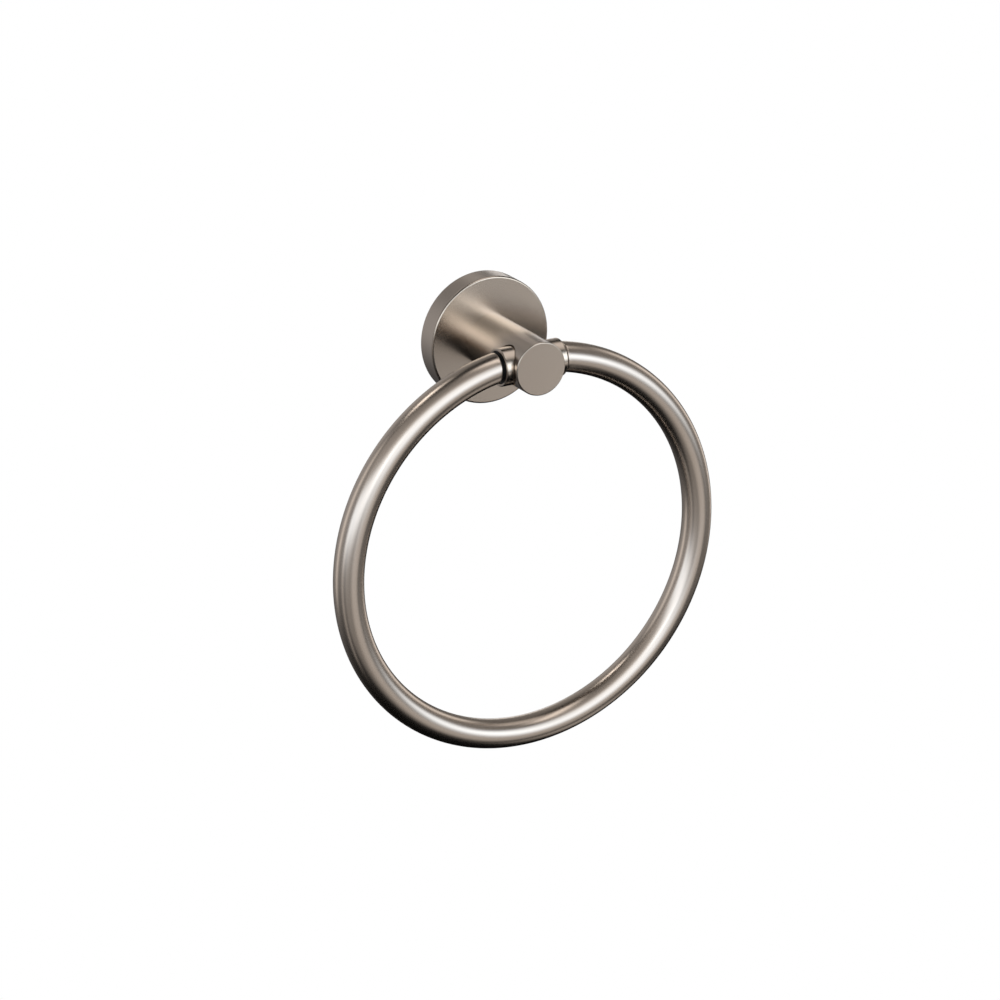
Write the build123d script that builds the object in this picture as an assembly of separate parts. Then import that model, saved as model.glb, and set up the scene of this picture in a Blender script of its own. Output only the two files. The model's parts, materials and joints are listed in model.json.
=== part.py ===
from build123d import *
import os
from math import asin, degrees, sqrt

# Towel ring: a tube ring that swings in a round post on a wall flange.
# X runs along the wall, Y into the wall and Z up. The origin is the centre of the flange's back, on
# the face of the wall. All sizes are in millimetres.

# Flange, a hollow round cover
flange_diameter = 54.0
flange_depth = 9.8  # from the wall to the flange's face
flange_rim_wall = 4.0
flange_face_wall = 2.4
flange_front_round = 0.75
flange_back_round = 0.3

# Post
post_diameter = 22.2
post_reach = 51.4  # from the wall to the post's end
post_end_round = 0.45
nose_wall = 2.25  # metal between the cross bore and the post's end
bore_seat = 13.0  # length of the cross bore that holds the sleeve
bore_relief = 0.35  # how much wider the bore is beyond its seat, all round
bore_mouth_chamfer = 0.2

# Key on the back of the post, which stops it turning in the flange
key_diameter = 10.0
key_flats = 8.0
key_short = 0.2  # how far the key stops short of the flange's inner face
key_clearance = 0.1

# Screw and washer that hold the post
post_screw_diameter = 5.0
post_screw_length = 16.0
post_screw_head_diameter = 9.5
post_screw_head_height = 2.75
post_screw_hex = 3.0
post_screw_socket_depth = 1.6
washer_overlap = 2.5  # washer beyond the key's hole
washer_thickness = 1.4
washer_clearance = 0.15
thread_clearance = 0.05
drill_allowance = 2.0  # tapped depth beyond the screw's end

# Bracket on the wall, wider at its front so that the set screw draws the flange to the wall
bracket_height = 5.4
bracket_web = 2.2
bracket_rim = 2.2
bracket_undercut = 2.2  # front radius less back radius
bracket_clearance = 0.3  # between the bracket's front edge and the flange's bore
wall_screw_spacing = 26.0
wall_screw_hole = 5.0

# Set screw in the flange's underside
set_screw_diameter = 4.0
set_screw_from_wall = 3.6
set_screw_recess = 0.5
set_screw_tip_diameter = 1.2
set_screw_hex = 2.0
set_screw_socket_depth = 1.5
set_screw_seat_gap = 0.05

# Sleeve through the post
sleeve_diameter = 15.6
sleeve_wall = 1.8
sleeve_proud = 2.9  # how far each end stands out of the post's side
sleeve_clearance = 0.05
sleeve_end_round = 0.5
lip_wall = 1.1  # metal left around the bush's flange

# Bushes in the sleeve's ends, each with a nose that keeps the ring's end off the sleeve
bush_length = 6.0  # behind its flange
bush_flange = 1.0
bush_inset = 0.5  # flange face below the sleeve's end
bush_clearance = 0.05
bush_nose_wall = 1.2  # around the pin's bore
bush_end_play = 0.15  # between the nose and the ring's end

# Pivot plugs in the ring's ends
pin_diameter = 8.0
pin_reach = 5.6  # past the bush's face
pin_running_clearance = 0.05
pin_chamfer = 0.5
plug_length = 6.0
plug_clearance = 0.15

# Ring
ring_radius = 81.8  # to the middle of the tube
tube_diameter = 12.5
tube_wall = 1.2
tube_end_round = 0.8  # on the outer edge of each end
ring_end_gap = 0.85  # between the tube's end and the sleeve's end

# Sizes that follow
flange_radius = flange_diameter / 2
cavity_radius = flange_radius - flange_rim_wall
cavity_depth = flange_depth - flange_face_wall
post_radius = post_diameter / 2
sleeve_radius = sleeve_diameter / 2
cross_bore_radius = sleeve_radius + sleeve_clearance
pivot_reach = post_reach - nose_wall - cross_bore_radius
sleeve_half_length = post_radius + sleeve_proud
sleeve_bore_radius = sleeve_radius - sleeve_wall
recess_radius = sleeve_radius - lip_wall
bush_face = sleeve_half_length - bush_inset
pin_radius = pin_diameter / 2
tube_radius = tube_diameter / 2
tube_bore_radius = tube_radius - tube_wall
ring_end = sleeve_half_length + ring_end_gap
ring_drop = sqrt(ring_radius**2 - ring_end**2)  # puts the tube's ends on the pivot axis
bracket_front_radius = cavity_radius - bracket_clearance
bracket_back_radius = bracket_front_radius - bracket_undercut
touch = 0.01  # how near two edges count as the same

room = Plane.XZ  # its normal points from the wall into the room
pivot = Plane(origin=(0, -pivot_reach, 0), x_dir=(0, 1, 0), z_dir=(1, 0, 0))


def disc(radius, near, far):
    """Cylinder on the post's axis, between two distances from the wall."""
    return extrude(room.offset(near) * Circle(radius), far - near)


def axle(radius, start, end):
    """Cylinder on the pivot axis, between two places along X."""
    return extrude(pivot.offset(start) * Circle(radius), end - start)


def circle_edges(shape, radius, place, axis):
    """Round edges of one radius whose centre is at one place along an axis."""
    rounds = shape.edges().filter_by(GeomType.CIRCLE)
    same_size = rounds.filter_by(lambda edge: abs(edge.radius - radius) < touch)
    return same_size.filter_by(lambda edge: abs(edge.arc_center.dot(axis) - place) < touch)


def hexagon(across_flats):
    return RegularPolygon(across_flats / 2, 6, major_radius=False)


def key_bar(clearance, near, far):
    """Round bar with two flats, on the post's axis."""
    round_part = Circle(key_diameter / 2 + clearance)
    flats = Rectangle(key_flats + 2 * clearance, key_diameter + 4 * clearance)
    return extrude(room.offset(near) * (round_part & flats), far - near)


def set_screw_bar(radius, low, high):
    """Cylinder on the set screw's axis, between two heights."""
    return extrude(Plane.XY.offset(low) * Pos(0, -set_screw_from_wall) * Circle(radius), high - low)


def make_flange():
    to_room = -Axis.Y.direction
    cover = disc(flange_radius, 0, flange_depth)
    cover = fillet(circle_edges(cover, flange_radius, flange_depth, to_room), flange_front_round)
    cover = fillet(circle_edges(cover, flange_radius, 0, to_room), flange_back_round)
    cover -= disc(cavity_radius, 0, cavity_depth)
    cover -= key_bar(key_clearance, cavity_depth, flange_depth)
    tapped_radius = set_screw_diameter / 2 + thread_clearance
    cover -= set_screw_bar(tapped_radius, -flange_radius, set_screw_diameter - cavity_radius)
    return cover


def make_post():
    bar = disc(post_radius, flange_depth, post_reach)
    bar = fillet(circle_edges(bar, post_radius, post_reach, -Axis.Y.direction), post_end_round)
    bar -= axle(cross_bore_radius, -post_diameter, post_diameter)
    for side in (-1, 1):
        bar -= axle(cross_bore_radius + bore_relief, side * bore_seat / 2, side * post_diameter)
    saddles = bar.edges().filter_by(lambda edge: abs(edge.center().X) > touch)
    mouths = saddles.filter_by(lambda edge: edge.geom_type not in (GeomType.CIRCLE, GeomType.LINE))
    bar = chamfer(mouths, bore_mouth_chamfer)
    bar += key_bar(0, cavity_depth + key_short, flange_depth)
    tapped_end = cavity_depth - washer_thickness + post_screw_length + drill_allowance
    bar -= disc(post_screw_diameter / 2 + thread_clearance, cavity_depth, tapped_end)
    return bar


def make_post_screw():
    head_seat = cavity_depth - washer_thickness
    head_top = head_seat - post_screw_head_height
    head = disc(post_screw_head_diameter / 2, head_top, head_seat)
    crown = circle_edges(head, post_screw_head_diameter / 2, head_top, -Axis.Y.direction)
    head = fillet(crown, post_screw_head_height / 2)
    socket = extrude(room.offset(head_top) * hexagon(post_screw_hex), post_screw_socket_depth)
    return head + disc(post_screw_diameter / 2, head_seat, head_seat + post_screw_length) - socket


def make_post_washer():
    near = cavity_depth - washer_thickness
    washer = disc(key_diameter / 2 + key_clearance + washer_overlap, near, cavity_depth)
    return washer - disc(post_screw_diameter / 2 + washer_clearance, near, cavity_depth)


def make_wall_bracket():
    rim_inside = bracket_back_radius - bracket_rim
    outline = Polyline(
        (0, 0),
        (bracket_back_radius, 0),
        (bracket_front_radius, -bracket_height),
        (rim_inside, -bracket_height),
        (rim_inside, -bracket_web),
        (0, -bracket_web),
        close=True,
    )
    dish = revolve(make_face(outline), Axis.Y)
    for side in (-1, 1):
        hole = Pos(0, side * wall_screw_spacing / 2) * Circle(wall_screw_hole / 2)
        dish -= extrude(room * hole, bracket_height)
    return dish


def make_set_screw():
    radius = set_screw_diameter / 2
    tip_radius = set_screw_tip_diameter / 2
    slope = bracket_undercut / bracket_height
    widest_seat = bracket_back_radius + slope * (set_screw_from_wall + tip_radius)
    tip = -widest_seat - set_screw_seat_gap
    shoulder = tip - (radius - tip_radius)
    foot = set_screw_recess - flange_radius
    point = Pos(0, -set_screw_from_wall, (shoulder + tip) / 2) * Cone(radius, tip_radius, tip - shoulder)
    screw = set_screw_bar(radius, foot, shoulder) + point
    socket_at = Plane.XY.offset(foot) * Pos(0, -set_screw_from_wall)
    return screw - extrude(socket_at * hexagon(set_screw_hex), set_screw_socket_depth)


def make_pivot_sleeve():
    sleeve = axle(sleeve_radius, -sleeve_half_length, sleeve_half_length)
    for end in (-sleeve_half_length, sleeve_half_length):
        sleeve = fillet(circle_edges(sleeve, sleeve_radius, end, Axis.X.direction), sleeve_end_round)
    sleeve -= axle(sleeve_bore_radius, -sleeve_half_length, sleeve_half_length)
    for side in (-1, 1):
        floor = bush_face - bush_flange
        sleeve -= axle(recess_radius, side * floor, side * sleeve_half_length)
    return sleeve


def make_right_bush():
    flange_start = bush_face - bush_flange
    bush = axle(recess_radius - bush_clearance, flange_start, bush_face)
    bush += axle(sleeve_bore_radius - bush_clearance, flange_start - bush_length, flange_start)
    pin_bore_radius = pin_radius + pin_running_clearance
    nose_end = ring_end - bush_end_play
    bush += axle(pin_bore_radius + bush_nose_wall, bush_face, nose_end)
    return bush - axle(pin_bore_radius, flange_start - bush_length, nose_end)


def make_right_pivot():
    pin_tip = bush_face - pin_reach
    pin = axle(pin_radius, pin_tip, ring_end)
    pin = chamfer(circle_edges(pin, pin_radius, pin_tip, Axis.X.direction), pin_chamfer)
    end_angle = degrees(asin(ring_end / ring_radius))
    middle_angle = end_angle + degrees(plug_length / 2 / ring_radius)
    ring_centre = Pos(0, -pivot_reach, -ring_drop)
    in_tube = ring_centre * Rot(0, middle_angle, 0) * Pos(0, 0, ring_radius) * Rot(0, 90, 0)
    to_depth = (Align.CENTER, Align.CENTER, Align.MAX)
    plug = Cylinder(tube_bore_radius - plug_clearance, 2 * plug_length, align=to_depth)
    plug = in_tube * Pos(0, 0, plug_length / 2) * plug
    plug = split(plug, Plane.YZ.offset(ring_end), keep=Keep.TOP)
    return pin + plug


def make_ring():
    placed = Pos(0, -pivot_reach, -ring_drop) * Rot(90, 0, 0)
    mouth = Box(2 * ring_end, 2 * tube_diameter, ring_radius)
    bar = placed * Torus(ring_radius, tube_radius)
    bar -= Pos(0, -pivot_reach, ring_radius - ring_drop) * mouth
    ends = bar.edges().filter_by(lambda edge: abs(abs(edge.center().X) - ring_end) < touch)
    return fillet(ends, tube_end_round) - placed * Torus(ring_radius, tube_bore_radius)


right_bush = make_right_bush()
right_pivot = make_right_pivot()
parts = {
    "flange": make_flange(),
    "post": make_post(),
    "post_screw": make_post_screw(),
    "post_washer": make_post_washer(),
    "wall_bracket": make_wall_bracket(),
    "set_screw": make_set_screw(),
    "pivot_sleeve": make_pivot_sleeve(),
    "left_bush": mirror(right_bush, Plane.YZ),
    "right_bush": right_bush,
    "ring": make_ring(),
    "left_pivot": mirror(right_pivot, Plane.YZ),
    "right_pivot": right_pivot,
}

os.makedirs("parts", exist_ok=True)
for node, shape in parts.items():
    export_step(shape, f"parts/{node}.step")
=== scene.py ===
import json
from math import acos, atan2, cos, hypot, pi, radians, sin, sqrt, tan

import bmesh
import bpy
from mathutils import Matrix, Vector


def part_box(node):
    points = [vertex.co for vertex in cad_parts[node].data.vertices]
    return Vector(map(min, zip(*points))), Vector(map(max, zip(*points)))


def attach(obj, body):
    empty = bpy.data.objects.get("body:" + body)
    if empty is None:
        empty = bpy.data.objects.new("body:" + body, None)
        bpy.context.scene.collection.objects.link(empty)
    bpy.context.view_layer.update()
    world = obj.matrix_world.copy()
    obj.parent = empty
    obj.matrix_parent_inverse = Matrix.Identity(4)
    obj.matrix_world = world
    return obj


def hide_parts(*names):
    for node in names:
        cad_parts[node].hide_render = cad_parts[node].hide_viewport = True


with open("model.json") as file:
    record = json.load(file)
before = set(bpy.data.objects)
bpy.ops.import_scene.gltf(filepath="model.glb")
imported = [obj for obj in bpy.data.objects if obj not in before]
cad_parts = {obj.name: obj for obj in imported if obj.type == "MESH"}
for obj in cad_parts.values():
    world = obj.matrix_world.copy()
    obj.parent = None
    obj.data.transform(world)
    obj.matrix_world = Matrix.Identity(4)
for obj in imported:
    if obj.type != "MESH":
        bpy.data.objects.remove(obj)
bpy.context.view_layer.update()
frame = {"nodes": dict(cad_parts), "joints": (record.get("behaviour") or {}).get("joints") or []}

# Towel ring in satin nickel: a tube ring that swings in a round post on a wall flange.
# Lengths are in metres in the part's own frame: X along the wall, Y into it and Z up.
MM = 0.001

# Sizes read from the frame
flange_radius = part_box("flange")[1].x
flange_depth = -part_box("flange")[0].y
post_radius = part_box("post")[1].x
post_end = -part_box("post")[0].y
key_end = -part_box("post")[1].y
pivot = Vector(frame["joints"][0]["pos_m"])
sleeve_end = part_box("pivot_sleeve")[1].x
sleeve_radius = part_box("pivot_sleeve")[1].z
bush_nose_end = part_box("right_bush")[1].x
bush_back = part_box("right_bush")[0].x
bush_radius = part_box("right_bush")[1].z
ring_low, ring_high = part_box("ring")
tube_radius = (ring_high.y - ring_low.y) / 2
ring_radius = ring_high.x - tube_radius
ring_centre = Vector((0, pivot.y, ring_low.z + ring_high.x))
bracket_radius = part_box("wall_bracket")[1].x
bracket_height = -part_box("wall_bracket")[0].y
set_screw_low, set_screw_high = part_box("set_screw")
set_screw_radius = set_screw_high.x
post_screw_tip = -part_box("post_screw")[0].y
post_screw_top = -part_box("post_screw")[1].y
post_screw_head_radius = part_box("post_screw")[1].x
washer_near = -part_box("post_washer")[1].y
washer_far = -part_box("post_washer")[0].y
washer_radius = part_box("post_washer")[1].x

# Walls, clearances and edges that the boxes don't give
flange_rim_wall = 4.0 * MM
flange_face_wall = 2.4 * MM
flange_front_round = 0.75 * MM
flange_back_round = 0.3 * MM
key_radius = 5.0 * MM
key_flats = 8.0 * MM
key_clearance = 0.1 * MM
post_end_round = 0.45 * MM
bore_clearance = 0.05 * MM
bore_seat = 13.0 * MM
bore_relief = 0.35 * MM
bore_chamfer = 0.2 * MM
sleeve_wall = 1.8 * MM
sleeve_lip = 1.1 * MM
sleeve_end_round = 0.5 * MM
lip_inner_round = 0.15 * MM
bush_inset = 0.5 * MM
bush_face = sleeve_end - bush_inset
bush_flange = 1.0 * MM
bush_nose_wall = 1.2 * MM
bush_bore = 4.05 * MM
bush_round = 0.15 * MM
tube_wall = 1.2 * MM
ring_end_gap = 0.85 * MM
tube_end_round = 0.8 * MM
tube_bore_round = 0.15 * MM
bracket_web = 2.2 * MM
bracket_rim = 2.2 * MM
bracket_undercut = 2.2 * MM
bracket_edge_round = 0.3 * MM
bracket_corner_round = 0.8 * MM
wall_screw_spacing = 26.0 * MM
wall_screw_hole = 5.0 * MM
thread_clearance = 0.05 * MM
post_screw_radius = 2.5 * MM
post_screw_pitch = 0.8 * MM
post_screw_hex = 3.0 * MM
post_screw_socket = 1.6 * MM
drill_allowance = 2.0 * MM
washer_hole = 2.65 * MM
washer_round = 0.2 * MM
set_screw_pitch = 0.7 * MM
set_screw_point = 0.6 * MM
set_screw_hex = 2.0 * MM
set_screw_socket = 1.5 * MM
thread_depth = 0.61  # share of the pitch
sunk_share = 1 / 2.6  # share of the post screw's head that its shank reaches into

# How far a cutter passes the face that it leaves, and a joined bar the face that it meets
overshoot = 1.0 * MM

# Fineness of the meshes
round_steps = 8
support_share = 0.25  # straight run kept beyond each arc, as a share of its radius
tube_round_steps = 6
turn_steps = 192
long_step = 0.6 * MM
dish_step = 2.0 * MM
merge_reach = 0.001 * MM
ring_stations = 288
tube_stations = 72
thread_steps = 14
thread_stations = 48
sharp_angle = radians(28)

# Placings that take a shape from its own Z axis to the axes of the post, the pivot and the set screw
ON_POST = Matrix.Rotation(pi / 2, 4, "X")
ON_PIVOT = Matrix(((0, 0, 1, 0), (1, 0, 0, pivot.y), (0, 1, 0, pivot.z), (0, 0, 0, 1)))
ON_SET_SCREW = Matrix.Translation((0, (set_screw_low.y + set_screw_high.y) / 2, 0))


class Wire:
    """A node's output that can stand in sums, so that node maths reads as plain expressions."""

    def __init__(self, nodes, socket):
        self.nodes = nodes
        self.socket = socket

    def __add__(self, other):
        return self.nodes.maths("ADD", self, other)

    def __radd__(self, other):
        return self.nodes.maths("ADD", other, self)

    def __sub__(self, other):
        return self.nodes.maths("SUBTRACT", self, other)

    def __rsub__(self, other):
        return self.nodes.maths("SUBTRACT", other, self)

    def __mul__(self, other):
        return self.nodes.maths("MULTIPLY", self, other)

    def __rmul__(self, other):
        return self.nodes.maths("MULTIPLY", other, self)

    def __truediv__(self, other):
        return self.nodes.maths("DIVIDE", self, other)

    def __rtruediv__(self, other):
        return self.nodes.maths("DIVIDE", other, self)


class Nodes:
    """Adds nodes to one tree and links them."""

    def __init__(self, tree):
        self.tree = tree

    def add(self, kind, settings=None, inputs=None, output=0):
        node = self.tree.nodes.new(kind)
        for name, value in (settings or {}).items():
            setattr(node, name, value)
        for name, value in (inputs or {}).items():
            self.join(node.inputs[name], value)
        return Wire(self, node.outputs[output])

    def join(self, socket, value):
        if isinstance(value, Wire):
            self.tree.links.new(value.socket, socket)
        else:
            socket.default_value = value

    def maths(self, operation, *values):
        return self.add("ShaderNodeMath", {"operation": operation}, dict(enumerate(values)))

    def smooth(self, value, low, high):
        """0 below low, 1 above high and an easy curve between."""
        limits = {"Value": value, "From Min": low, "From Max": high}
        return self.add("ShaderNodeMapRange", {"interpolation_type": "SMOOTHSTEP"}, limits)

    def part(self, vector, axis):
        """One axis of a vector."""
        return self.add("ShaderNodeSeparateXYZ", {}, {0: vector}, output=axis)

    def mix_colours(self, share, first, second):
        """The first colour at 0 and the second at 1, by the numbers of the mixer's colour sockets."""
        colours = {0: share, 6: first, 7: second}
        return self.add("ShaderNodeMix", {"data_type": "RGBA"}, colours, output=2)

    def size(self, name):
        """A named input of the tree."""
        return self.add("NodeGroupInput", output=name)


def new_material(name):
    """A material, its nodes and its shader."""
    material = bpy.data.materials.new(name)
    material.use_nodes = True
    nodes = Nodes(material.node_tree)
    return material, nodes, material.node_tree.nodes["Principled BSDF"].inputs


def bare_material(name):
    """A material with its shader taken out, its nodes and its surface."""
    material, nodes = new_material(name)[:2]
    tree = material.node_tree
    tree.nodes.remove(tree.nodes["Principled BSDF"])
    return material, nodes, tree.nodes["Material Output"].inputs["Surface"]


def satin_nickel():
    """Warm nickel plating with a fine brushed grain along the piece's grain map."""
    streak_length = 6.0 * MM
    streak_width = 0.09 * MM
    cloud_size = 14.0 * MM
    dull = (0.62, 0.53, 0.45, 1)
    fresh = (0.64, 0.55, 0.47, 1)
    satin = 0.25
    unevenness = 0.02
    material, nodes, shader = new_material("satin_nickel")
    along = nodes.add("ShaderNodeUVMap", {"uv_map": "grain"})
    stretch = (1 / streak_length, 1 / streak_width, 1)
    brushed = nodes.add("ShaderNodeMapping", {}, {"Vector": along, "Scale": stretch})
    strokes = {"Vector": brushed, "Scale": 1, "Detail": 3}
    streaks = nodes.add("ShaderNodeTexNoise", {"noise_dimensions": "2D"}, strokes)
    place = nodes.add("ShaderNodeTexCoord", output="Object")
    clouds = nodes.add("ShaderNodeTexNoise", {}, {"Vector": place, "Scale": 1 / cloud_size, "Detail": 2})
    nodes.join(shader["Base Color"], nodes.mix_colours(clouds, dull, fresh))
    nodes.join(shader["Roughness"], satin + unevenness * (streaks - 0.5) + unevenness * (clouds - 0.5))
    relief = {"Strength": 0.03, "Distance": 0.01 * MM, "Height": streaks}
    nodes.join(shader["Normal"], nodes.add("ShaderNodeBump", {}, relief))
    shader["Metallic"].default_value = 1
    return material


def plated_steel():
    """Bright zinc plating, a little cloudy."""
    cloud_size = 3.0 * MM
    dull = (0.52, 0.53, 0.55, 1)
    fresh = (0.66, 0.67, 0.68, 1)
    bright = 0.30
    unevenness = 0.16
    material, nodes, shader = new_material("plated_steel")
    place = nodes.add("ShaderNodeTexCoord", output="Object")
    clouds = nodes.add("ShaderNodeTexNoise", {}, {"Vector": place, "Scale": 1 / cloud_size, "Detail": 4})
    nodes.join(shader["Base Color"], nodes.mix_colours(clouds, dull, fresh))
    nodes.join(shader["Roughness"], bright + unevenness * (clouds - 0.5))
    shader["Metallic"].default_value = 1
    return material


def black_nylon():
    """Moulded black nylon with a faint spark-eroded texture. Its near-black is also painted shade for the
    dark ring in each sleeve mouth.
    """
    grain_size = 0.15 * MM
    matt = 0.5
    unevenness = 0.15
    material, nodes, shader = new_material("black_nylon")
    place = nodes.add("ShaderNodeTexCoord", output="Object")
    specks = nodes.add("ShaderNodeTexNoise", {}, {"Vector": place, "Scale": 1 / grain_size, "Detail": 2})
    nodes.join(shader["Roughness"], matt + unevenness * (specks - 0.5))
    relief = {"Strength": 0.2, "Distance": 0.02 * MM, "Height": specks}
    nodes.join(shader["Normal"], nodes.add("ShaderNodeBump", {}, relief))
    # Near-black: the bush's own colour, and painted shade for the gap in each sleeve mouth
    shader["Base Color"].default_value = (0.012, 0.012, 0.012, 1)
    return material


NICKEL = satin_nickel()
ZINC = plated_steel()
NYLON_AND_SHADE = black_nylon()


# The pieces of each body, which have lamps of their own
lamp_groups = {
    "fixed_post": bpy.data.collections.new("lit_mount"),
    "swinging_ring": bpy.data.collections.new("lit_ring"),
}


def new_piece(name, mesh):
    piece = bpy.data.objects.new(name, mesh)
    bpy.context.scene.collection.objects.link(piece)
    return piece


def closed_piece(name, mesh_maker):
    """Piece from a closed mesh, with its faces turned outwards."""
    bmesh.ops.recalc_face_normals(mesh_maker, faces=mesh_maker.faces)
    mesh = bpy.data.meshes.new(name)
    mesh_maker.to_mesh(mesh)
    mesh_maker.free()
    return new_piece(name, mesh)


def settle(piece):
    """Makes what the modifiers give the piece's own mesh."""
    shapes = bpy.context.evaluated_depsgraph_get()
    shaped = piece.evaluated_get(shapes)
    mesh = bpy.data.meshes.new_from_object(shaped, preserve_all_data_layers=True, depsgraph=shapes)
    piece.modifiers.clear()
    piece.data = mesh


def combine(piece, other, operation):
    """Joins another shape to the piece, or takes it out, and removes that shape."""
    boolean = piece.modifiers.new("combine", "BOOLEAN")
    boolean.operation = operation
    boolean.solver = "EXACT"
    boolean.object = other
    settle(piece)
    bpy.data.objects.remove(other)


def cut(piece, cutter):
    combine(piece, cutter, "DIFFERENCE")


def join(piece, other):
    combine(piece, other, "UNION")


def hand_over(piece, node, body, material):
    """Shades the piece, puts it on its body and lets it stand for its CAD node."""
    mesh = piece.data
    mesh.materials.clear()
    mesh.materials.append(material)
    for face in mesh.polygons:
        face.use_smooth = True
        face.material_index = 0
    mesh.set_sharp_from_angle(angle=sharp_angle)
    lamp_groups[body].objects.link(piece)
    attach(piece, body)
    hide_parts(node)


def outline(corners):
    """Closed outline through (radius, station, rounding) corners, with the rounded ones as arcs."""
    points = []
    for index, (radius, station, rounding) in enumerate(corners):
        corner = Vector((radius, station))
        if rounding == 0:
            points.append(corner)
            continue
        back = (Vector(corners[index - 1][:2]) - corner).normalized()
        on = (Vector(corners[(index + 1) % len(corners)][:2]) - corner).normalized()
        half = back.angle(on) / 2
        setback = rounding / tan(half)
        support = setback + rounding * support_share
        centre = corner + (back + on).normalized() * rounding / sin(half)
        first = corner + back * setback - centre
        last = corner + on * setback - centre
        start = atan2(first.y, first.x)
        sweep = (atan2(last.y, last.x) - start + pi) % (2 * pi) - pi
        points.append(corner + back * support)
        for step in range(round_steps + 1):
            angle = start + sweep * step / round_steps
            points.append(centre + rounding * Vector((cos(angle), sin(angle))))
        points.append(corner + on * support)
    return points


def divided(points, longest):
    """The same closed outline with extra points on its long straight runs."""
    finer = []
    for index, point in enumerate(points):
        after = points[(index + 1) % len(points)]
        count = max(1, round((after - point).length / longest))
        finer.extend(point.lerp(after, step / count) for step in range(count))
    return finer


def turned(name, points, place, steps=turn_steps):
    """Solid turned from a closed outline of (radius, station) points, with a grain map around its axis."""
    mesh_maker = bmesh.new()
    grain = mesh_maker.loops.layers.uv.new("grain")
    widest = max(point.x for point in points)
    rows = []
    travelled = [0.0]
    for index, (radius, station) in enumerate(points):
        if index:
            travelled.append(travelled[-1] + (points[index] - points[index - 1]).length)
        count = 1 if radius == 0 else steps
        angles = [2 * pi * step / steps for step in range(count)]
        spots = [place @ Vector((radius * cos(a), radius * sin(a), station)) for a in angles]
        rows.append([mesh_maker.verts.new(spot) for spot in spots])
    travelled.append(travelled[-1] + (points[0] - points[-1]).length)
    for index, row in enumerate(rows):
        after = rows[(index + 1) % len(rows)]
        if len(row) == 1 and len(after) == 1:
            continue
        for step in range(steps):
            corners = [
                (row, index, step),
                (row, index, step + 1),
                (after, index + 1, step + 1),
                (after, index + 1, step),
            ]
            if len(row) == 1:
                corners.pop(1)
            if len(after) == 1:
                corners.pop()
            face = mesh_maker.faces.new([line[at % len(line)] for line, station, at in corners])
            for loop, (line, station, at) in zip(face.loops, corners):
                loop[grain].uv = (2 * pi * widest * at / steps, travelled[station])
    return closed_piece(name, mesh_maker)


def drill(radius, low, high, place):
    """Plain cylinder to cut a round hole with, on the Z axis of a placing."""
    corners = [(0, low), (radius, low), (radius, high), (0, high)]
    return turned("drill", [Vector(corner) for corner in corners], place)


def prism(name, corners, low, high, place):
    """Straight bar with a closed outline of (x, y) corners, on the Z axis of a placing."""
    mesh_maker = bmesh.new()
    ends = [[mesh_maker.verts.new(place @ Vector((x, y, z))) for x, y in corners] for z in (low, high)]
    for end in ends:
        mesh_maker.faces.new(end)
    for index in range(len(corners)):
        mesh_maker.faces.new((ends[0][index - 1], ends[0][index], ends[1][index], ends[1][index - 1]))
    return closed_piece(name, mesh_maker)


def key_bar(clearance, low, high):
    """Round bar with two flats, on the post's axis."""
    radius = key_radius + clearance
    flat_angle = acos((key_flats / 2 + clearance) / radius)
    steps = 3 * round_steps
    sweep = [flat_angle + (pi - 2 * flat_angle) * step / steps for step in range(steps + 1)]
    angles = sweep + [angle + pi for angle in sweep]
    return prism("key_bar", [(radius * cos(a), radius * sin(a)) for a in angles], low, high, ON_POST)


def hex_socket(across_flats, low, high, place):
    """Six-sided bar to cut a socket with, on the Z axis of a placing."""
    reach = across_flats / 2 / cos(pi / 6)
    corners = [(reach * cos(side * pi / 3), reach * sin(side * pi / 3)) for side in range(6)]
    return prism("hex_socket", corners, low, high, place)


def make_flange():
    """Hollow cover against the wall, with a keyed hole for the post and one below for the set screw."""
    cavity_radius = flange_radius - flange_rim_wall
    cavity_depth = flange_depth - flange_face_wall
    corners = [
        (0, cavity_depth, 0),
        (cavity_radius, cavity_depth, 0),
        (cavity_radius, 0, flange_back_round),
        (flange_radius, 0, flange_back_round),
        (flange_radius, flange_depth, flange_front_round),
        (0, flange_depth, 0),
    ]
    cover = turned("flange_cover", outline(corners), ON_POST, 2 * turn_steps)
    cut(cover, key_bar(key_clearance, cavity_depth - overshoot, flange_depth + overshoot))
    hole = set_screw_radius + thread_clearance
    cut(cover, drill(hole, -flange_radius - overshoot, -cavity_radius + overshoot, ON_SET_SCREW))
    hand_over(cover, "flange", "fixed_post", NICKEL)


def flared_bore(radius):
    """Cutter for the post's cross bore: wider beyond the sleeve's seat, and flared at the post's skin."""
    mesh_maker = bmesh.new()
    relieved = radius + bore_relief
    wide = relieved + bore_chamfer + overshoot
    seat = bore_seat / 2
    far = post_radius + 2 * overshoot
    lines = []
    for step in range(turn_steps):
        angle = 2 * pi * step / turn_steps
        skin = sqrt(post_radius**2 - (relieved * sin(angle))**2)
        seated = ((seat, radius), (seat, relieved))
        right_half = (*seated, (skin - bore_chamfer, relieved), (skin + overshoot, wide), (far, wide))
        left_half = [(-x, reach) for x, reach in reversed(right_half)]
        line = []
        for x, reach in (*left_half, *right_half):
            spot = (x, pivot.y + reach * cos(angle), pivot.z + reach * sin(angle))
            line.append(mesh_maker.verts.new(spot))
        lines.append(line)
    rows = list(zip(*lines))
    for row, after in zip(rows, rows[1:]):
        for step in range(turn_steps):
            near = (step + 1) % turn_steps
            mesh_maker.faces.new((row[step], row[near], after[near], after[step]))
    mesh_maker.faces.new(rows[0])
    mesh_maker.faces.new(rows[-1])
    return closed_piece("flared_bore", mesh_maker)


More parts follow.
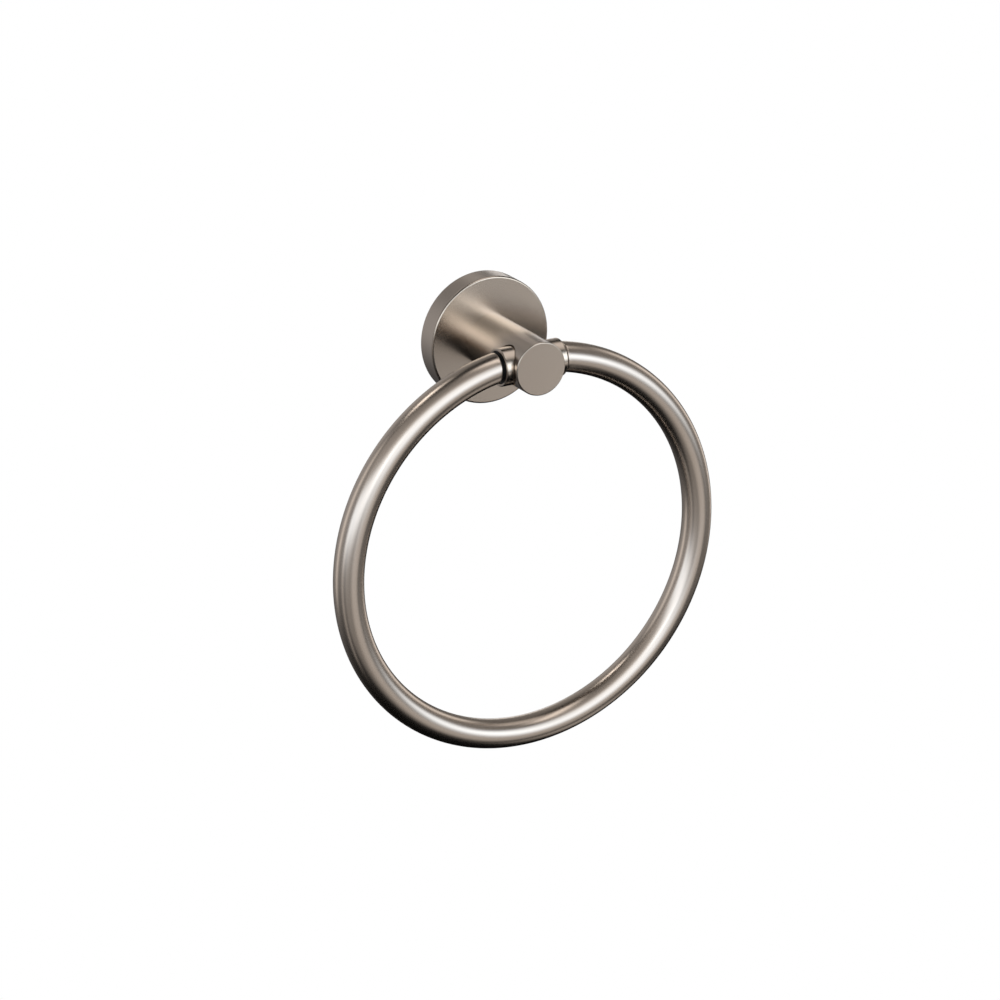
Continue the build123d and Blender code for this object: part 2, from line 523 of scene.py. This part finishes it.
def make_post():
    """Round bar with a cross bore, a keyed foot and a screw hole in the foot."""
    corners = [
        (0, flange_depth, 0),
        (post_radius, flange_depth, 0),
        (post_radius, post_end, post_end_round),
        (0, post_end, 0),
    ]
    bar = turned("post_bar", divided(outline(corners), long_step), ON_POST)
    cut(bar, flared_bore(sleeve_radius + bore_clearance))
    join(bar, key_bar(0, key_end, flange_depth + overshoot))
    hole = post_screw_radius + thread_clearance
    cut(bar, drill(hole, key_end - overshoot, post_screw_tip + drill_allowance, ON_POST))
    hand_over(bar, "post", "fixed_post", NICKEL)


def make_pivot_sleeve():
    """Tube through the post, with a recess for a bush in each end."""
    bore = sleeve_radius - sleeve_wall
    recess = sleeve_radius - sleeve_lip
    floor = bush_face - bush_flange
    corners = [
        (sleeve_radius, -sleeve_end, sleeve_end_round),
        (sleeve_radius, sleeve_end, sleeve_end_round),
        (recess, sleeve_end, lip_inner_round),
        (recess, floor, 0),
        (bore, floor, 0),
        (bore, -floor, 0),
        (recess, -floor, 0),
        (recess, -sleeve_end, lip_inner_round),
    ]
    sleeve = turned("collar_sleeve", outline(corners), ON_PIVOT)
    hand_over(sleeve, "pivot_sleeve", "fixed_post", NICKEL)


def make_bush(side, node):
    """Flanged bearing in one end of the sleeve, -1 on the left and 1 on the right."""
    body_radius = sleeve_radius - sleeve_wall - bore_clearance
    shoulder = bush_face - bush_flange
    nose_radius = bush_bore + bush_nose_wall
    corners = [
        (bush_radius, side * shoulder, 0),
        (bush_radius, side * bush_face, bush_round),
        (nose_radius, side * bush_face, bush_round),
        (nose_radius, side * bush_nose_end, bush_round),
        (bush_bore, side * bush_nose_end, bush_round),
        (bush_bore, side * bush_back, bush_round),
        (body_radius, side * bush_back, bush_round),
        (body_radius, side * shoulder, 0),
    ]
    bush = turned(node + "_bearing", outline(corners), ON_PIVOT)
    # The bush's black face, set back in the sleeve mouth, is partly painted shade
    hand_over(bush, node, "fixed_post", NYLON_AND_SHADE)


def make_wall_bracket():
    """Dished plate with two screw holes, wider at its front than at the wall."""
    back = bracket_radius - bracket_undercut
    inside = back - bracket_rim
    corners = [
        (0, 0, 0),
        (back, 0, bracket_edge_round),
        (bracket_radius, bracket_height, bracket_edge_round),
        (inside, bracket_height, bracket_edge_round),
        (inside, bracket_web, bracket_corner_round),
        (0, bracket_web, 0),
    ]
    dish = turned("bracket_dish", divided(outline(corners), dish_step), ON_POST)
    for side in (-1, 1):
        place = Matrix.Translation((0, 0, side * wall_screw_spacing / 2)) @ ON_POST
        cut(dish, drill(wall_screw_hole / 2, -overshoot, bracket_height, place))
    hand_over(dish, "wall_bracket", "fixed_post", ZINC)


def grown(name, group, sizes):
    """Piece that a tree makes from named sizes."""
    piece = new_piece(name, bpy.data.meshes.new(name))
    growth = piece.modifiers.new("growth", "NODES")
    growth.node_group = group
    for item in group.interface.items_tree:
        if item.in_out == "INPUT":
            growth[item.identifier] = sizes[item.name]
    settle(piece)
    return piece


def new_tree(name, lengths, places=()):
    """Tree with named inputs for lengths, places, the stations of its mesh and the finish."""
    group = bpy.data.node_groups.new(name, "GeometryNodeTree")
    inputs = {
        "NodeSocketFloat": lengths,
        "NodeSocketVector": places,
        "NodeSocketInt": ("Stations along", "Stations around"),
        "NodeSocketMaterial": ("Finish",),
    }
    for kind, labels in inputs.items():
        for label in labels:
            group.interface.new_socket(label, in_out="INPUT", socket_type=kind)
    group.interface.new_socket("Geometry", in_out="OUTPUT", socket_type="NodeSocketGeometry")
    return group


def close_tree(nodes, grid, spots):
    """Moves the grid's points to their spots, closes the seams and puts the finish on."""
    placed = nodes.add("GeometryNodeSetPosition", {}, {"Geometry": grid, "Position": spots})
    closed = nodes.add("GeometryNodeMergeByDistance", {}, {"Geometry": placed, "Distance": merge_reach})
    whole = nodes.add("GeometryNodeRealizeInstances", {}, {"Geometry": closed})
    faced = nodes.add("GeometryNodeSetMaterial", {}, {"Geometry": whole, "Material": nodes.size("Finish")})
    nodes.join(nodes.tree.nodes.new("NodeGroupOutput").inputs[0], faced)


def thread_tree():
    """Tree that makes a threaded rod along Z, closed at both ends and tapered there at 45 degrees."""
    flank = 1.5  # leaves the crest and the root flat for a sixth of the pitch each
    lengths = ("Crest radius", "Root radius", "Pitch", "Low", "High", "Foot radius", "Point radius")
    group = new_tree("threaded_rod", lengths)
    nodes = Nodes(group)
    size = nodes.size
    along = size("Stations along")
    rows = {
        "Size X": 1,
        "Size Y": 1,
        "Vertices X": along + 3,
        "Vertices Y": size("Stations around") + 1,
    }
    grid = nodes.add("GeometryNodeMeshGrid", {}, rows)
    spot = nodes.add("GeometryNodeInputPosition")
    across = nodes.part(spot, "X")
    turn = nodes.part(spot, "Y") + 0.5
    row = nodes.maths("ROUND", (across + 0.5) * (along + 2))
    on_side = nodes.maths("GREATER_THAN", row, 0.5) * nodes.maths("LESS_THAN", row, along + 1.5)
    share = nodes.maths("MAXIMUM", 0, nodes.maths("MINIMUM", row - 1, along)) / along
    length = size("High") - size("Low")
    height = share * length
    phase = nodes.maths("FRACT", height / size("Pitch") - turn)
    ridge = 1 - nodes.maths("ABSOLUTE", 2 * phase - 1)
    ridge = nodes.maths("MAXIMUM", 0, nodes.maths("MINIMUM", 1, flank * ridge - (flank - 1) / 2))
    thread = size("Root radius") + ridge * (size("Crest radius") - size("Root radius"))
    tapers = nodes.maths("MINIMUM", size("Foot radius") + height, size("Point radius") + length - height)
    radius = on_side * nodes.maths("MINIMUM", thread, tapers)
    bent = {
        "X": radius * nodes.maths("COSINE", turn * (2 * pi)),
        "Y": radius * nodes.maths("SINE", turn * (2 * pi)),
        "Z": size("Low") + height,
    }
    close_tree(nodes, grid, nodes.add("ShaderNodeCombineXYZ", {}, bent))
    return group


def threaded_rod(name, radius, pitch, low, high, point_radius, place):
    """Rod with a thread around the Z axis of a placing, from its foot to its point."""
    root = radius - thread_depth * pitch
    sizes = {
        "Crest radius": radius,
        "Root radius": root,
        "Pitch": pitch,
        "Low": low,
        "High": high,
        "Foot radius": root,
        "Point radius": point_radius,
        "Stations along": round(thread_steps * (high - low) / pitch),
        "Stations around": thread_stations,
        "Finish": ZINC,
    }
    rod = grown(name, THREAD, sizes)
    rod.data.transform(place)
    mesh_maker = bmesh.new()
    mesh_maker.from_mesh(rod.data)
    bmesh.ops.recalc_face_normals(mesh_maker, faces=mesh_maker.faces)
    mesh_maker.to_mesh(rod.data)
    mesh_maker.free()
    return rod


def make_post_screw():
    """Round-headed screw from inside the flange, with a hex socket."""
    head_height = washer_near - post_screw_top
    head_round = head_height / 2
    corners = [
        (0, post_screw_top, 0),
        (post_screw_head_radius, post_screw_top, head_round),
        (post_screw_head_radius, washer_near, 0),
        (0, washer_near, 0),
    ]
    screw = turned("post_screw_head", outline(corners), ON_POST)
    in_head = washer_near - head_height * sunk_share
    point = post_screw_radius - thread_depth * post_screw_pitch
    shank = (post_screw_radius, post_screw_pitch, in_head, post_screw_tip, point)
    join(screw, threaded_rod("post_screw_shank", *shank, ON_POST))
    socket_floor = post_screw_top + post_screw_socket
    cut(screw, hex_socket(post_screw_hex, post_screw_top - overshoot, socket_floor, ON_POST))
    hand_over(screw, "post_screw", "fixed_post", ZINC)


def make_post_washer():
    """Plain washer under the post screw's head."""
    corners = [
        (washer_hole, washer_near, washer_round),
        (washer_radius, washer_near, washer_round),
        (washer_radius, washer_far, washer_round),
        (washer_hole, washer_far, washer_round),
    ]
    washer = turned("plain_washer", outline(corners), ON_POST)
    hand_over(washer, "post_washer", "fixed_post", ZINC)


def make_set_screw():
    """Headless screw below the flange, with a hex socket in its foot."""
    foot = set_screw_low.z
    rod = (set_screw_radius, set_screw_pitch, foot, set_screw_high.z, set_screw_point)
    screw = threaded_rod("grub_screw", *rod, ON_SET_SCREW)
    cut(screw, hex_socket(set_screw_hex, foot - overshoot, foot + set_screw_socket, ON_SET_SCREW))
    hand_over(screw, "set_screw", "fixed_post", ZINC)


def ring_tree():
    """Tree that bends a tube into the ring, with its ends cut square to X.

    Rows run along the outside and back along the bore, so the strips between the two are the end faces.
    """
    group = new_tree("ring_tube", ("Ring radius", "Tube radius", "Bore radius", "Ring end"), ("Centre",))
    nodes = Nodes(group)
    size = nodes.size
    along = size("Stations along")
    rows = {
        "Size X": 1,
        "Size Y": 1,
        "Vertices X": 2 * along + 1,
        "Vertices Y": size("Stations around") + 1,
    }
    grid = nodes.add("GeometryNodeMeshGrid", {}, rows)
    spot = nodes.add("GeometryNodeInputPosition")
    across = nodes.part(spot, "X")
    around = nodes.part(spot, "Y") * (2 * pi)
    row = nodes.maths("ROUND", (across + 0.5) * (2 * along))
    in_bore = nodes.maths("GREATER_THAN", row, along - 0.5) * nodes.maths("LESS_THAN", row, 2 * along - 0.5)
    share = nodes.maths("MAXIMUM", 0, nodes.maths("MINIMUM", row, 2 * along - 1 - row)) / (along - 1)
    tube = size("Tube radius") + in_bore * (size("Bore radius") - size("Tube radius"))
    reach = size("Ring radius") + tube * nodes.maths("COSINE", around)
    end_angle = nodes.maths("ARCSINE", size("Ring end") / reach)
    angle = end_angle + share * (2 * pi - 2 * end_angle)
    bent = {
        "X": reach * nodes.maths("SINE", angle),
        "Y": tube * nodes.maths("SINE", around),
        "Z": reach * nodes.maths("COSINE", angle),
    }
    bent = nodes.add("ShaderNodeCombineXYZ", {}, bent)
    bent = nodes.add("ShaderNodeVectorMath", {"operation": "ADD"}, {0: bent, 1: size("Centre")})
    grain = nodes.add("ShaderNodeCombineXYZ", {}, {"X": angle * size("Ring radius"), "Y": around * tube})
    kept = {"Geometry": grid, "Name": "grain", "Value": grain}
    kept = nodes.add("GeometryNodeStoreNamedAttribute", {"data_type": "FLOAT2", "domain": "CORNER"}, kept)
    close_tree(nodes, kept, bent)
    return group


def off_centre_line(point):
    """How far a point lies from the ring's bent centre line."""
    return hypot(hypot(point.x, point.z - ring_centre.z) - ring_radius, point.y - pivot.y)


def round_tube_ends(tube, ring_end):
    """Rounds the tube's end edges, the outer ones more than those of its bore."""
    mesh = tube.data
    shares = mesh.attributes.new("bevel_weight_edge", "FLOAT", "EDGE")
    near = 0.01 * MM
    for edge in mesh.edges:
        corners = [mesh.vertices[number].co for number in edge.vertices]
        if any(abs(abs(corner.x) - ring_end) > near for corner in corners):
            continue
        reaches = [off_centre_line(corner) for corner in corners]
        if min(reaches) > tube_radius - near:
            shares.data[edge.index].value = 1
        elif max(reaches) < tube_radius - tube_wall + near:
            shares.data[edge.index].value = tube_bore_round / tube_end_round
    ends = tube.modifiers.new("end_edges", "BEVEL")
    ends.limit_method = "WEIGHT"
    ends.width = tube_end_round
    ends.segments = tube_round_steps
    settle(tube)


def make_ring():
    """Bent tube with its two ends close to the sleeve."""
    sizes = {
        "Ring radius": ring_radius,
        "Tube radius": tube_radius,
        "Bore radius": tube_radius - tube_wall,
        "Ring end": sleeve_end + ring_end_gap,
        "Centre": ring_centre,
        "Stations along": ring_stations,
        "Stations around": tube_stations,
        "Finish": NICKEL,
    }
    tube = grown("ring_tube", ring_tree(), sizes)
    round_tube_ends(tube, sizes["Ring end"])
    hand_over(tube, "ring", "swinging_ring", NICKEL)


def dress_pivots():
    """Finish and lamps for the two plugs, whose CAD shape is kept."""
    for node in ("left_pivot", "right_pivot"):
        plug = frame["nodes"][node]
        plug.data.materials.clear()
        plug.data.materials.append(NICKEL)
        lamp_groups["swinging_ring"].objects.link(plug)


THREAD = thread_tree()
make_flange()
make_post()
make_post_screw()
make_post_washer()
make_set_screw()
make_pivot_sleeve()
make_bush(-1, "left_bush")
make_bush(1, "right_bush")
make_wall_bracket()
make_ring()
dress_pivots()


# Camera
camera_azimuth = radians(-29.048)
camera_elevation = radians(21.474)
camera_place = Vector((-0.552845, -1.013174, 0.380635))
picture_width = 36  # millimetres, as the focal length is
focal_length = 106.325


def toward(azimuth, elevation):
    """Unit vector from the object: azimuth 0 is straight out into the room, positive to +X."""
    level = cos(elevation)
    return Vector((sin(azimuth) * level, -cos(azimuth) * level, sin(elevation)))


def add_camera():
    data = bpy.data.cameras.new("camera")
    data.sensor_width = picture_width
    data.lens = focal_length
    camera = bpy.data.objects.new("camera", data)
    camera.location = camera_place
    camera.rotation_mode = "QUATERNION"
    camera.rotation_quaternion = toward(camera_azimuth, camera_elevation).to_track_quat("Z", "Y")
    bpy.context.scene.collection.objects.link(camera)
    bpy.context.scene.camera = camera


# White ground and pale floor
white = (1, 1, 1, 1)
floor_height = -5.0


def seen(nodes):
    """1 for the rays that look at the background, straight on, by way of metal or through glass."""
    path = "ShaderNodeLightPath"
    eye = nodes.add(path, output="Is Camera Ray")
    glossy = nodes.add(path, output="Is Glossy Ray")
    through = nodes.add(path, output="Is Transmission Ray")
    return nodes.maths("MAXIMUM", eye, nodes.maths("MAXIMUM", glossy, through))


def add_world():
    """White ground, at a plain level for the light that it gives."""
    plain_level = 0.4
    world = bpy.data.worlds.new("studio")
    world.use_nodes = True
    nodes = Nodes(world.node_tree)
    ground = world.node_tree.nodes["Background"].inputs
    ground["Color"].default_value = white
    nodes.join(ground["Strength"], plain_level + (1 - plain_level) * seen(nodes))
    bpy.context.scene.world = world


def add_floor():
    """Pale floor far below, which looks white straight on and in the metal."""
    half = 30.0
    pale_grey = (0.85, 0.85, 0.85, 1)
    mesh = bpy.data.meshes.new("floor")
    corners = [(-half, -half), (half, -half), (half, half), (-half, half)]
    mesh.from_pydata([(x, y, floor_height) for x, y in corners], [], [(0, 1, 2, 3)])
    floor = new_piece("floor", mesh)
    material, nodes, surface = bare_material("pale_floor")
    pale = nodes.add("ShaderNodeBsdfDiffuse", {}, {"Color": pale_grey})
    glow = nodes.add("ShaderNodeEmission", {}, {"Color": white, "Strength": 1})
    nodes.join(surface, nodes.add("ShaderNodeMixShader", {}, {0: seen(nodes), 1: pale, 2: glow}))
    mesh.materials.append(material)


def add_tent():
    """Dark cloth around the object, grey on the left and behind, with a doorway to the white ground."""
    radius = 6.0
    cloth_sides = 96
    cloth_rows = 64
    floor_gap = 0.02
    cloth_height = floor_height + floor_gap
    open_side = toward(radians(152), radians(2.5))
    open_angle = radians(9.6)
    left_grey = 0.38
    rear_grey = 0.36
    right_dark = 0.24
    front_dark = 0.1
    fade_low = 0.27
    fade_high = 1.07
    cloth_colour = (1, 1, 1.03, 1)
    mesh_maker = bmesh.new()
    bmesh.ops.create_uvsphere(mesh_maker, u_segments=cloth_sides, v_segments=cloth_rows, radius=radius)
    doorway = [face for face in mesh_maker.faces if face.calc_center_median().angle(open_side) < open_angle]
    bmesh.ops.delete(mesh_maker, geom=doorway, context="FACES")
    for corner in mesh_maker.verts:
        if corner.co.z < cloth_height:
            corner.co *= cloth_height / corner.co.z
    mesh = bpy.data.meshes.new("tent")
    mesh_maker.to_mesh(mesh)
    mesh_maker.free()
    tent = new_piece("tent", mesh)
    tent.visible_camera = False
    material, nodes, surface = bare_material("tent_cloth")
    place = nodes.add("ShaderNodeTexCoord", output="Object")
    way = nodes.add("ShaderNodeVectorMath", {"operation": "NORMALIZE"}, {0: place})
    height = nodes.part(way, "Z")
    on_left = nodes.maths("MAXIMUM", 0, -1 * nodes.part(way, "X"))
    on_right = nodes.maths("MAXIMUM", 0, nodes.part(way, "X"))
    behind = nodes.maths("MAXIMUM", 0, nodes.part(way, "Y"))
    grey = left_grey * on_left - right_dark * on_right + rear_grey * behind - front_dark
    above_floor = nodes.smooth(height, -1, 0)
    below_roof = 1 - nodes.smooth(height, fade_low, fade_high)
    level = nodes.maths("MAXIMUM", 0, grey) * above_floor * below_roof
    nodes.join(surface, nodes.add("ShaderNodeEmission", {}, {"Color": cloth_colour, "Strength": level}))
    mesh.materials.append(material)


# Colours of the lamps
sky = (0.86, 1, 1.16)
window = (0.92, 1, 1.06)
room = (1.04, 1, 0.97)

# Lamps of the ring and of the mount: azimuth, elevation, width and height in degrees, level, softness of
# the edges and colour
ring_lamps = {
    "ring_front_left": (-47, 6.5, 65.5, 27, 1.47, 0.2, sky),
    "ring_front_middle": (10.5, 0, 42.5, 20.5, 1.5, 0.2, sky),
    "ring_front_right": (48.5, 4, 33.5, 23.5, 1.72, 0.2, sky),
    "ring_front_core": (8, 19.5, 68, 24.5, 1.18, 0.2, sky),
    "ring_front_high": (-37, 43, 94, 56, 0.28, 0.3, room),
    "ring_front_fill": (-5.5, -3, 90, 95, 0.25, 0.3, room),
    "ring_front_top": (39.5, 66.5, 11.5, 34.5, 2.0, 0.15, room),
    "ring_left": (-122.5, 4.5, 17.5, 65, 0.55, 0.15, room),
    "ring_right": (106.5, 3.5, 19.5, 55, 0.92, 0.15, room),
    "ring_right_wall": (76.5, 6, 66.5, 81, 0.21, 0.3, room),
    "ring_right_top": (88, 56.5, 19.5, 22, 0.96, 0.15, room),
    "ring_rear_top": (-137, 60, 11.5, 11, 4.9, 0.15, room),
    "ring_rear_wall": (160, 24.5, 69, 76.5, 0.19, 0.3, room),
    "ring_floor_left": (-71.5, -26.5, 9.5, 53.5, 0.47, 0.15, room),
    "ring_floor_right": (14.5, -25.5, 40.5, 26.5, 0.29, 0.15, room),
    "ring_floor_side": (68.5, -53, 29.5, 11, 0.59, 0.15, room),
}
mount_lamps = {
    "mount_left": (-40.5, 16.5, 40, 24.5, 2.0, 0.2, window),
    "mount_middle": (3, 11, 55.5, 46, 1.0, 0.2, window),
    "mount_right": (42, 13, 42.5, 36.5, 1.9, 0.2, window),
    "mount_front_top": (21.5, 75, 16.5, 26.5, 0.95, 0.15, room),
    "mount_right_wall": (102, -6, 66, 60, 0.3, 0.3, room),
    "mount_right_top": (77.5, 70, 53.5, 30.5, 0.94, 0.15, room),
    "mount_rear_left": (-156, 48.5, 35.5, 14.5, 0.82, 0.15, room),
    "mount_rear_right": (158.5, 28, 25.5, 12, 0.45, 0.15, room),
    "mount_floor": (41, -22.5, 22.5, 8, 1.6, 0.15, room),
}


def softbox(name, group, azimuth, elevation, width, height, level, soft, colour):
    """Flat soft-edged lamp that faces the object, fills width by height degrees and lights one group."""
    corner_reach = 4.9
    halves = [tan(radians(angle / 2)) for angle in (width, height)]
    sides = [half + soft for half in halves]
    distance = corner_reach / sqrt(1 + sides[0] ** 2 + sides[1] ** 2)
    data = bpy.data.lights.new(name, "AREA")
    data.shape = "RECTANGLE"
    data.size = 2 * distance * sides[0]
    data.size_y = 2 * distance * sides[1]
    data.energy = level * pi * data.size * data.size_y
    data.color = colour
    data.use_nodes = True
    nodes = Nodes(data.node_tree)
    spot = nodes.add("ShaderNodeNewGeometry", output="Parametric")
    strength = 1
    for axis, half, side in zip("XY", halves, sides):
        off = 2 * side * nodes.maths("ABSOLUTE", nodes.part(spot, axis) - 0.5)
        strength = strength * nodes.smooth(half - off, -soft, soft)
    nodes.join(data.node_tree.nodes["Emission"].inputs["Strength"], strength)
    lamp = bpy.data.objects.new(name, data)
    way = toward(radians(azimuth), radians(elevation))
    lamp.location = way * distance
    lamp.rotation_mode = "QUATERNION"
    lamp.rotation_quaternion = way.to_track_quat("Z", "Y")
    lamp.visible_camera = False
    lamp.light_linking.receiver_collection = group
    bpy.context.scene.collection.objects.link(lamp)


def add_lamps():
    for name, values in ring_lamps.items():
        softbox(name, lamp_groups["swinging_ring"], *values)
    for name, values in mount_lamps.items():
        softbox(name, lamp_groups["fixed_post"], *values)


add_camera()
add_world()
add_floor()
add_tent()
add_lamps()
bpy.context.scene.view_settings.view_transform = "Standard"
